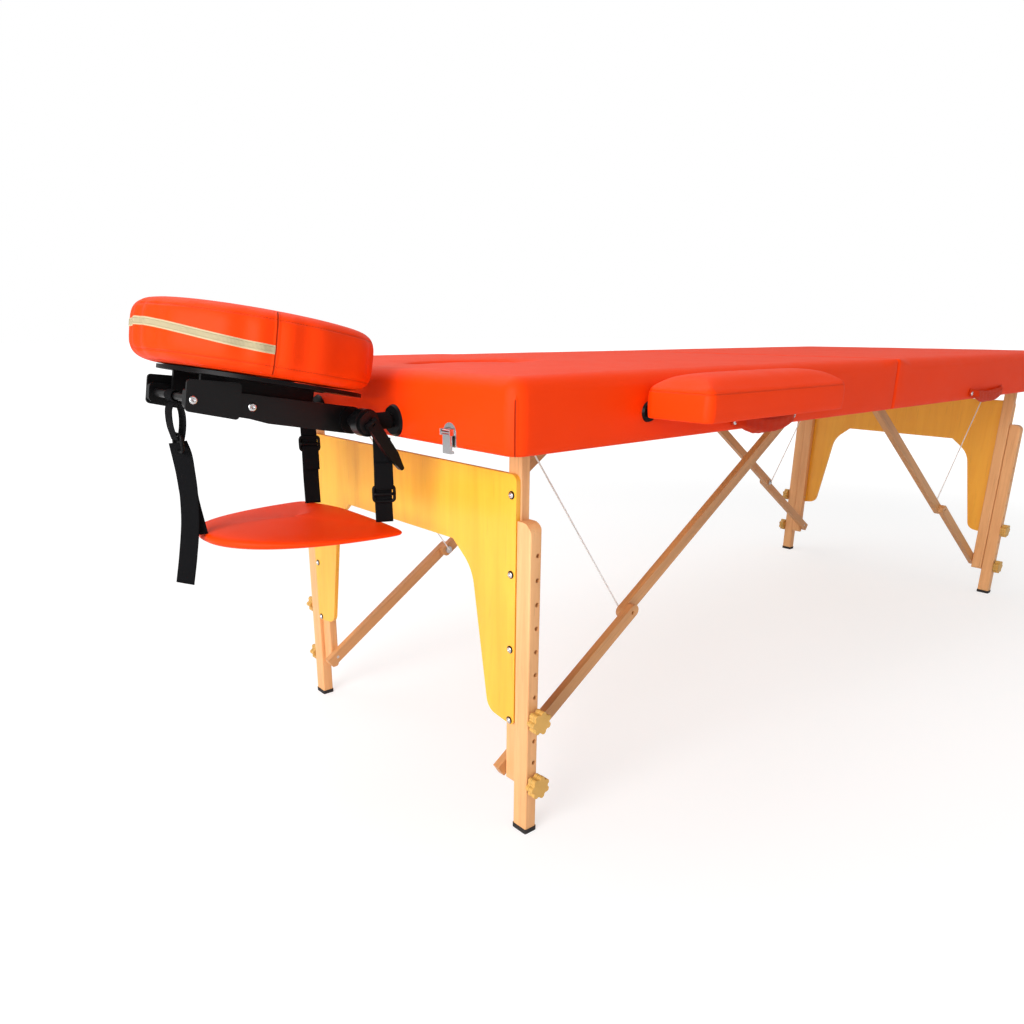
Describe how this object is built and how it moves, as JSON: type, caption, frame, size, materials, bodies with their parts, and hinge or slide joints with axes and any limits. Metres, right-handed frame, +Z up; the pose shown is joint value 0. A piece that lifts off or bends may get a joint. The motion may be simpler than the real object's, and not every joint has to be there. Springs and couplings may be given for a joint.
{
  "type": "folding massage table",
  "caption": "Padded folding massage table with a face cradle, side armrests, a hanging arm sling, folding braced legs and sliding leg extensions.",
  "frame": {"origin": "on the floor, below the middle of the fold line", "axes": "+X from the head end to the foot end, +Y to the far side, +Z up"},
  "size_m": [2.1502, 0.9146, 0.7232],
  "materials": {
    "vinyl": "padded orange vinyl with a fine grain",
    "beech": "clear-lacquered solid beech",
    "ply": "clear-lacquered plywood",
    "deck_board": "raw plywood",
    "steel": "zinc-plated steel",
    "chrome": "bright nickel plate",
    "black_plastic": "black moulded plastic",
    "black_metal": "black powder coat",
    "rubber": "black rubber",
    "webbing": "black woven webbing",
    "cable": "steel cable in a pale plastic sleeve"
  },
  "bodies": {
    "head_half": {"head_cushion": "vinyl", "head_skirt": "vinyl", "head_deck": "deck_board", "head_frame": "beech", "head_brackets": "steel", "head_cables": "cable", "head_handle": "vinyl", "rod_sockets": "black_plastic", "latch_plates": "chrome", "hinge_head_leaves": "steel"},
    "plug": {"breathing_plug": "vinyl"},
    "hooks": {"latch_hooks": "chrome"},
    "foot_half": {"foot_cushion": "vinyl", "foot_skirt": "vinyl", "foot_deck": "deck_board", "foot_frame": "beech", "foot_brackets": "steel", "foot_cables": "cable", "foot_handle": "vinyl", "latch_catches": "chrome", "hinge_foot_leaves": "steel"},
    "head_legs": {"head_inner_legs": "beech", "head_end_panel": "ply", "head_leg_bolts": "steel"},
    "foot_legs": {"foot_inner_legs": "beech", "foot_end_panel": "ply", "foot_leg_bolts": "steel"},
    "head_upper_brace_set": {"head_upper_braces": "beech", "head_knee_bolts": "steel"},
    "head_lower_brace_set": {"head_lower_braces": "beech"},
    "foot_upper_brace_set": {"foot_upper_braces": "beech", "foot_knee_bolts": "steel"},
    "foot_lower_brace_set": {"foot_lower_braces": "beech"},
    "cradle_base": {"cradle_posts": "black_metal"},
    "cradle_arm_set": {"cradle_arms": "black_metal"},
    "lever": {"cradle_lever": "black_plastic"},
    "cradle_head": {"cradle_platform": "black_plastic", "face_cushion": "vinyl"},
    "sling": {"sling_straps": "webbing", "arm_sling": "vinyl"},
    "near_armrest": {"near_armrest_pad": "vinyl", "near_armrest_frame": "black_metal"},
    "far_armrest": {"far_armrest_pad": "vinyl", "far_armrest_frame": "black_metal"},
    "head_near_leg_slide": {"head_near_sliding_leg": "beech", "head_near_rubber_foot": "rubber"},
    "head_near_lower_knob": {"head_near_lower_knob": "ply"},
    "head_near_upper_knob": {"head_near_upper_knob": "ply"},
    "head_far_leg_slide": {"head_far_sliding_leg": "beech", "head_far_rubber_foot": "rubber"},
    "head_far_lower_knob": {"head_far_lower_knob": "ply"},
    "head_far_upper_knob": {"head_far_upper_knob": "ply"},
    "foot_near_leg_slide": {"foot_near_sliding_leg": "beech", "foot_near_rubber_foot": "rubber"},
    "foot_near_lower_knob": {"foot_near_lower_knob": "ply"},
    "foot_near_upper_knob": {"foot_near_upper_knob": "ply"},
    "foot_far_leg_slide": {"foot_far_sliding_leg": "beech", "foot_far_rubber_foot": "rubber"},
    "foot_far_lower_knob": {"foot_far_lower_knob": "ply"},
    "foot_far_upper_knob": {"foot_far_upper_knob": "ply"}
  },
  "joints": [
    {"name": "table_fold", "type": "hinge", "parent": "head_half", "child": "foot_half", "pos_m": [0, 0, 0.54675], "axis": [0, 1, 0], "range_deg": [0, 105]},
    {"name": "head_legs_fold", "type": "hinge", "parent": "head_half", "child": "head_legs", "pos_m": [-0.85, 0, 0.564], "axis": [0, -1, 0], "range_deg": [0, 90]},
    {"name": "foot_legs_fold", "type": "hinge", "parent": "foot_half", "child": "foot_legs", "pos_m": [0.85, 0, 0.564], "axis": [0, 1, 0], "range_deg": [0, 90]},
    {"name": "head_upper_braces_turn", "type": "hinge", "parent": "head_half", "child": "head_upper_brace_set", "pos_m": [-0.135, 0, 0.564], "axis": [0, 1, 0], "range_deg": [0, 36.2], "deforming": ["head_cables"]},
    {"name": "head_lower_braces_turn", "type": "hinge", "parent": "head_legs", "child": "head_lower_brace_set", "pos_m": [-0.85, 0, 0.088], "axis": [0, -1, 0], "range_deg": [0, 51.85]},
    {"name": "foot_upper_braces_turn", "type": "hinge", "parent": "foot_half", "child": "foot_upper_brace_set", "pos_m": [0.135, 0, 0.564], "axis": [0, -1, 0], "range_deg": [0, 36.2], "deforming": ["foot_cables"]},
    {"name": "foot_lower_braces_turn", "type": "hinge", "parent": "foot_legs", "child": "foot_lower_brace_set", "pos_m": [0.85, 0, 0.088], "axis": [0, 1, 0], "range_deg": [0, 51.85]},
    {"name": "head_near_leg_height", "type": "slide", "parent": "head_legs", "child": "head_near_leg_slide", "axis": [0, 0, -1], "range_m": [0, 0.2004]},
    {"name": "head_near_lower_knob_turn", "type": "hinge", "parent": "head_legs", "child": "head_near_lower_knob", "pos_m": [-0.8515, -0.3096, 0.078], "axis": [0, -1, 0], "continuous": true},
    {"name": "head_near_upper_knob_turn", "type": "hinge", "parent": "head_legs", "child": "head_near_upper_knob", "pos_m": [-0.8515, -0.3096, 0.1782], "axis": [0, -1, 0], "continuous": true},
    {"name": "head_far_leg_height", "type": "slide", "parent": "head_legs", "child": "head_far_leg_slide", "axis": [0, 0, -1], "range_m": [0, 0.2004]},
    {"name": "head_far_lower_knob_turn", "type": "hinge", "parent": "head_legs", "child": "head_far_lower_knob", "pos_m": [-0.8515, 0.3096, 0.078], "axis": [0, 1, 0], "continuous": true},
    {"name": "head_far_upper_knob_turn", "type": "hinge", "parent": "head_legs", "child": "head_far_upper_knob", "pos_m": [-0.8515, 0.3096, 0.1782], "axis": [0, 1, 0], "continuous": true},
    {"name": "foot_near_leg_height", "type": "slide", "parent": "foot_legs", "child": "foot_near_leg_slide", "axis": [0, 0, -1], "range_m": [0, 0.2004]},
    {"name": "foot_near_lower_knob_turn", "type": "hinge", "parent": "foot_legs", "child": "foot_near_lower_knob", "pos_m": [0.8515, -0.3096, 0.078], "axis": [0, -1, 0], "continuous": true},
    {"name": "foot_near_upper_knob_turn", "type": "hinge", "parent": "foot_legs", "child": "foot_near_upper_knob", "pos_m": [0.8515, -0.3096, 0.1782], "axis": [0, -1, 0], "continuous": true},
    {"name": "foot_far_leg_height", "type": "slide", "parent": "foot_legs", "child": "foot_far_leg_slide", "axis": [0, 0, -1], "range_m": [0, 0.2004]},
    {"name": "foot_far_lower_knob_turn", "type": "hinge", "parent": "foot_legs", "child": "foot_far_lower_knob", "pos_m": [0.8515, 0.3096, 0.078], "axis": [0, 1, 0], "continuous": true},
    {"name": "foot_far_upper_knob_turn", "type": "hinge", "parent": "foot_legs", "child": "foot_far_upper_knob", "pos_m": [0.8515, 0.3096, 0.1782], "axis": [0, 1, 0], "continuous": true},
    {"name": "plug_lift", "type": "slide", "parent": "head_half", "child": "plug", "axis": [0, 0, 1], "range_m": [0, 0.06]},
    {"name": "latch_hooks_turn", "type": "hinge", "parent": "head_half", "child": "hooks", "pos_m": [-0.9358, 0, 0.5686], "axis": [0, 1, 0], "range_deg": [0, 80]},
    {"name": "cradle_reach", "type": "slide", "parent": "head_half", "child": "cradle_base", "axis": [-1, 0, 0], "range_m": [0, 0.09]},
    {"name": "cradle_tilt", "type": "hinge", "parent": "cradle_base", "child": "cradle_arm_set", "pos_m": [-0.977, 0, 0.572], "axis": [0, -1, 0], "range_deg": [0, 30]},
    {"name": "cradle_lever_turn", "type": "hinge", "parent": "cradle_base", "child": "lever", "pos_m": [-0.977, -0.1226, 0.572], "axis": [-0.8192, 0, -0.5736], "range_deg": [0, 100]},
    {"name": "platform_tilt", "type": "hinge", "parent": "cradle_arm_set", "child": "cradle_head", "pos_m": [-1.1147, 0, 0.59727], "axis": [0, -1, 0], "range_deg": [0, 5]},
    {"name": "sling_swing", "type": "hinge", "parent": "cradle_base", "child": "sling", "pos_m": [-0.946, 0, 0.4305], "axis": [0, -1, 0], "range_deg": [0, 30], "deforming": ["sling_straps"]},
    {"name": "near_armrest_reach", "type": "slide", "parent": "head_half", "child": "near_armrest", "axis": [0, -1, 0], "range_m": [0, 0.06]},
    {"name": "far_armrest_reach", "type": "slide", "parent": "head_half", "child": "far_armrest", "axis": [0, 1, 0], "range_m": [0, 0.06]}
  ],
  "couplings": [
    {"joint": "head_upper_braces_turn", "follows": "head_legs_fold", "ratio": 0.40216},
    {"joint": "head_lower_braces_turn", "follows": "head_legs_fold", "ratio": 0.57608},
    {"joint": "foot_upper_braces_turn", "follows": "foot_legs_fold", "ratio": 0.40216},
    {"joint": "foot_lower_braces_turn", "follows": "foot_legs_fold", "ratio": 0.57608},
    {"joint": "sling_swing", "follows": "cradle_tilt", "ratio": 1}
  ]
}
